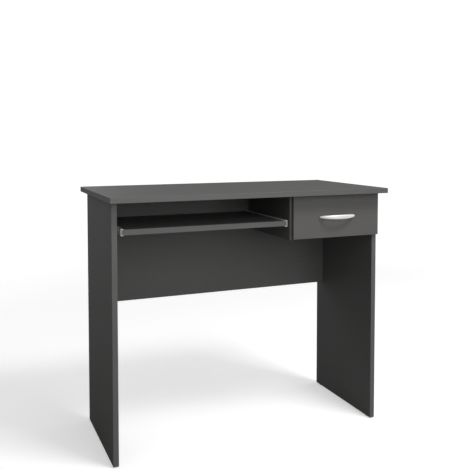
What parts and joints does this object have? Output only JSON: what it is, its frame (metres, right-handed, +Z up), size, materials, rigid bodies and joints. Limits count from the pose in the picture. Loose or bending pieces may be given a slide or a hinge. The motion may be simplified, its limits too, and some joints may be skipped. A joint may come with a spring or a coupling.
{
  "type": "computer desk",
  "caption": "Compact anthracite computer desk with panel sides, a high modesty panel, a keyboard tray on ball slides and a shallow drawer with a bow handle on roller slides.",
  "frame": {"origin": "on the floor, under the middle of the tabletop", "axes": "+X to the right and +Y to the back for a person sitting at the desk, +Z up; the front with the tray and the drawer faces -Y"},
  "size_m": [0.9, 0.45, 0.77],
  "materials": {
    "laminate": "matt melamine-faced chipboard, anthracite, fine pearl texture",
    "edge_band": "matt ABS edge band, anthracite",
    "drawer_board": "matt melamine-faced chipboard, anthracite",
    "hardboard": "foil-faced hardboard, anthracite",
    "rail_steel": "zinc-plated steel, satin",
    "channel_steel": "folded steel, pale grey epoxy coat, satin",
    "ball_steel": "polished steel balls",
    "coated_steel": "light grey epoxy-coated steel",
    "screw_steel": "bright zinc-plated steel",
    "cam_zinc": "die-cast zinc, raw",
    "dowel_beech": "plain beech, fluted",
    "cap_plastic": "matt anthracite plastic",
    "glide_plastic": "dark grey polypropylene",
    "roller_nylon": "natural white nylon",
    "handle_metal": "satin silver lacquer on die-cast zinc"
  },
  "bodies": {
    "carcass": {"tabletop": "laminate", "tabletop_edge_bands": "edge_band", "left_side_panel": "laminate", "left_panel_edge_bands": "edge_band", "right_side_panel": "laminate", "right_panel_edge_bands": "edge_band", "modesty_panel": "laminate", "modesty_edge_band": "edge_band", "drawer_divider": "laminate", "divider_edge_bands": "edge_band", "floor_glides": "glide_plastic", "cam_locks": "cam_zinc", "cam_bolts": "screw_steel", "cam_caps": "cap_plastic", "carcass_dowels": "dowel_beech", "divider_screws": "screw_steel", "left_tray_outer_rail": "rail_steel", "right_tray_outer_rail": "rail_steel", "tray_outer_rail_screws": "screw_steel", "left_drawer_cabinet_rail": "coated_steel", "right_drawer_cabinet_rail": "coated_steel", "drawer_cabinet_rail_screws": "screw_steel", "cabinet_roller_axles": "screw_steel"},
    "tray": {"keyboard_tray": "laminate", "tray_edge_bands": "edge_band", "left_tray_channel": "channel_steel", "right_tray_channel": "channel_steel", "left_tray_inner_rail": "rail_steel", "right_tray_inner_rail": "rail_steel", "tray_inner_rail_screws": "screw_steel"},
    "ball_cages": {"left_ball_cage": "rail_steel", "right_ball_cage": "rail_steel", "left_rail_balls": "ball_steel", "right_rail_balls": "ball_steel"},
    "drawer": {"drawer_front": "laminate", "drawer_front_edge_bands": "edge_band", "drawer_left_side": "drawer_board", "drawer_right_side": "drawer_board", "drawer_back": "drawer_board", "drawer_bottom": "hardboard", "drawer_cam_locks": "cam_zinc", "drawer_cam_bolts": "screw_steel", "drawer_dowels": "dowel_beech", "drawer_back_screws": "screw_steel", "drawer_bottom_screws": "screw_steel", "drawer_handle": "handle_metal", "handle_screws": "screw_steel", "left_drawer_rail": "coated_steel", "right_drawer_rail": "coated_steel", "drawer_rail_screws": "screw_steel", "drawer_roller_axles": "screw_steel"},
    "left_cabinet_roller": {"left_cabinet_roller": "roller_nylon"},
    "right_cabinet_roller": {"right_cabinet_roller": "roller_nylon"},
    "left_drawer_roller": {"left_drawer_roller": "roller_nylon"},
    "right_drawer_roller": {"right_drawer_roller": "roller_nylon"}
  },
  "joints": [
    {"name": "tray_slide", "type": "slide", "parent": "carcass", "child": "tray", "axis": [0, -1, 0], "range_m": [0, 0.195]},
    {"name": "ball_cage_slide", "type": "slide", "parent": "carcass", "child": "ball_cages", "axis": [0, -1, 0], "range_m": [0, 0.0975]},
    {"name": "drawer_slide", "type": "slide", "parent": "carcass", "child": "drawer", "axis": [0, -1, 0], "range_m": [0, 0.2]},
    {"name": "left_cabinet_roller_spin", "type": "hinge", "parent": "carcass", "child": "left_cabinet_roller", "pos_m": [0.1407, -0.1665, 0.6467], "axis": [1, 0, 0], "range_deg": [0, 1638]},
    {"name": "left_drawer_roller_spin", "type": "hinge", "parent": "drawer", "child": "left_drawer_roller", "pos_m": [0.1407, 0.0635, 0.6483], "axis": [1, 0, 0], "range_deg": [0, 1303.2]},
    {"name": "right_cabinet_roller_spin", "type": "hinge", "parent": "carcass", "child": "right_cabinet_roller", "pos_m": [0.416, -0.1665, 0.6467], "axis": [1, 0, 0], "range_deg": [0, 1638]},
    {"name": "right_drawer_roller_spin", "type": "hinge", "parent": "drawer", "child": "right_drawer_roller", "pos_m": [0.416, 0.0635, 0.6483], "axis": [1, 0, 0], "range_deg": [0, 1303.2]}
  ],
  "couplings": [
    {"joint": "ball_cage_slide", "follows": "tray_slide", "ratio": 0.5},
    {"joint": "left_cabinet_roller_spin", "follows": "drawer_slide", "rad_per_m": 142.86},
    {"joint": "left_drawer_roller_spin", "follows": "drawer_slide", "rad_per_m": 113.64},
    {"joint": "right_cabinet_roller_spin", "follows": "drawer_slide", "rad_per_m": 142.86},
    {"joint": "right_drawer_roller_spin", "follows": "drawer_slide", "rad_per_m": 113.64}
  ]
}
